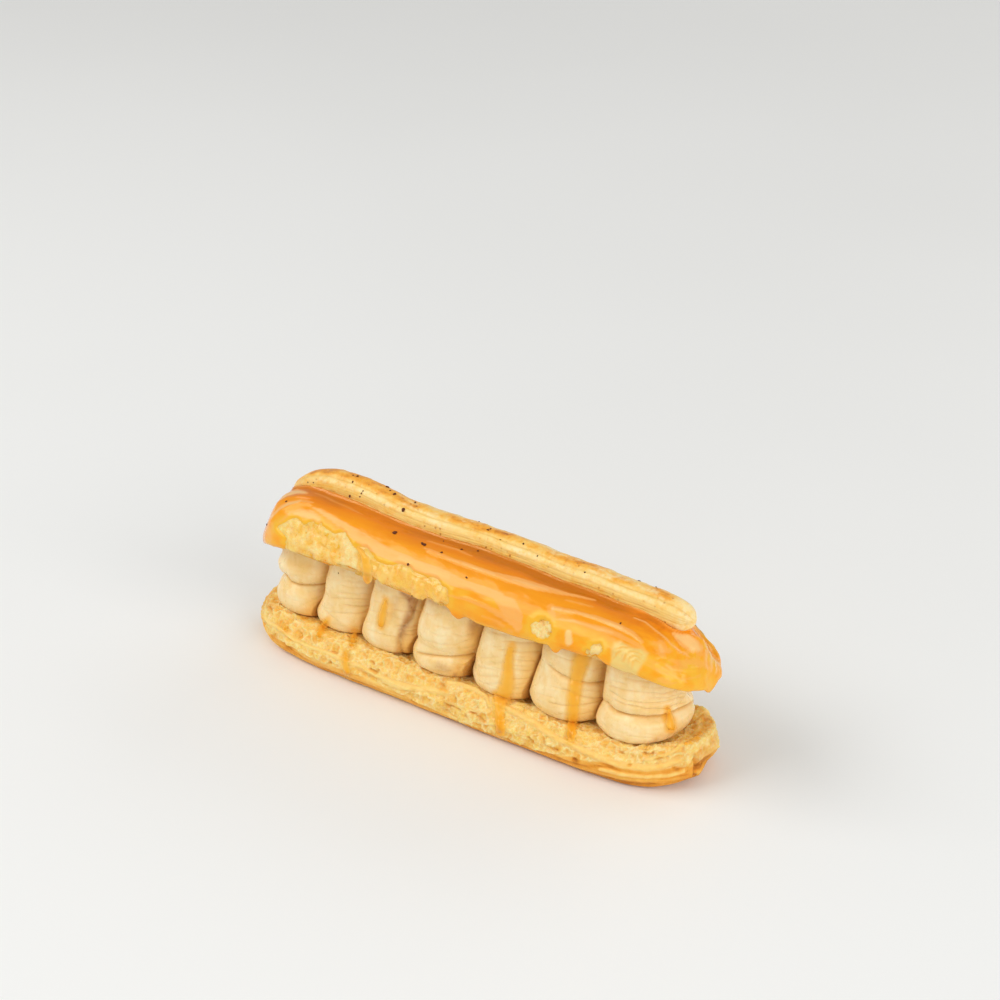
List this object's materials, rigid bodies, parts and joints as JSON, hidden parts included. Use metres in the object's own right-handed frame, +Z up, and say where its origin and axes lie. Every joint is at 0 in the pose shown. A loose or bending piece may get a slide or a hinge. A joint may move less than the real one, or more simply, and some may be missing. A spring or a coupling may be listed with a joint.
{
  "type": "filled choux eclair",
  "caption": "Coffee eclair split lengthwise: a choux lower half, a row of piped cream dollops, and a caramel-glazed upper half with a thin rope of choux along its crest.",
  "frame": {"origin": "under the middle of the eclair, at the height of the flat underside that it rests on", "axes": "+X along its length, towards the end that is nearer in the picture; +Z up; the picture looks at the side that faces -Y"},
  "size_m": [0.1504, 0.0371, 0.0555],
  "materials": {
    "choux_base": "baked choux crust, golden, with a pale yellow torn crumb edge",
    "cream": "piped coffee cream, soft satin",
    "glazed_choux": "choux under a wet caramel glaze",
    "choux_rope": "baked choux, golden, lightly glazed",
    "caramel": "clear runny caramel, glossy",
    "coffee_specks": "coarse ground coffee"
  },
  "bodies": {
    "root": {"base": "choux_base", "cream_1": "cream", "cream_2": "cream", "cream_3": "cream", "cream_4": "cream", "cream_5": "cream", "cream_6": "cream", "cream_7": "cream", "lid": "glazed_choux", "rope": "choux_rope"}
  },
  "joints": []
}
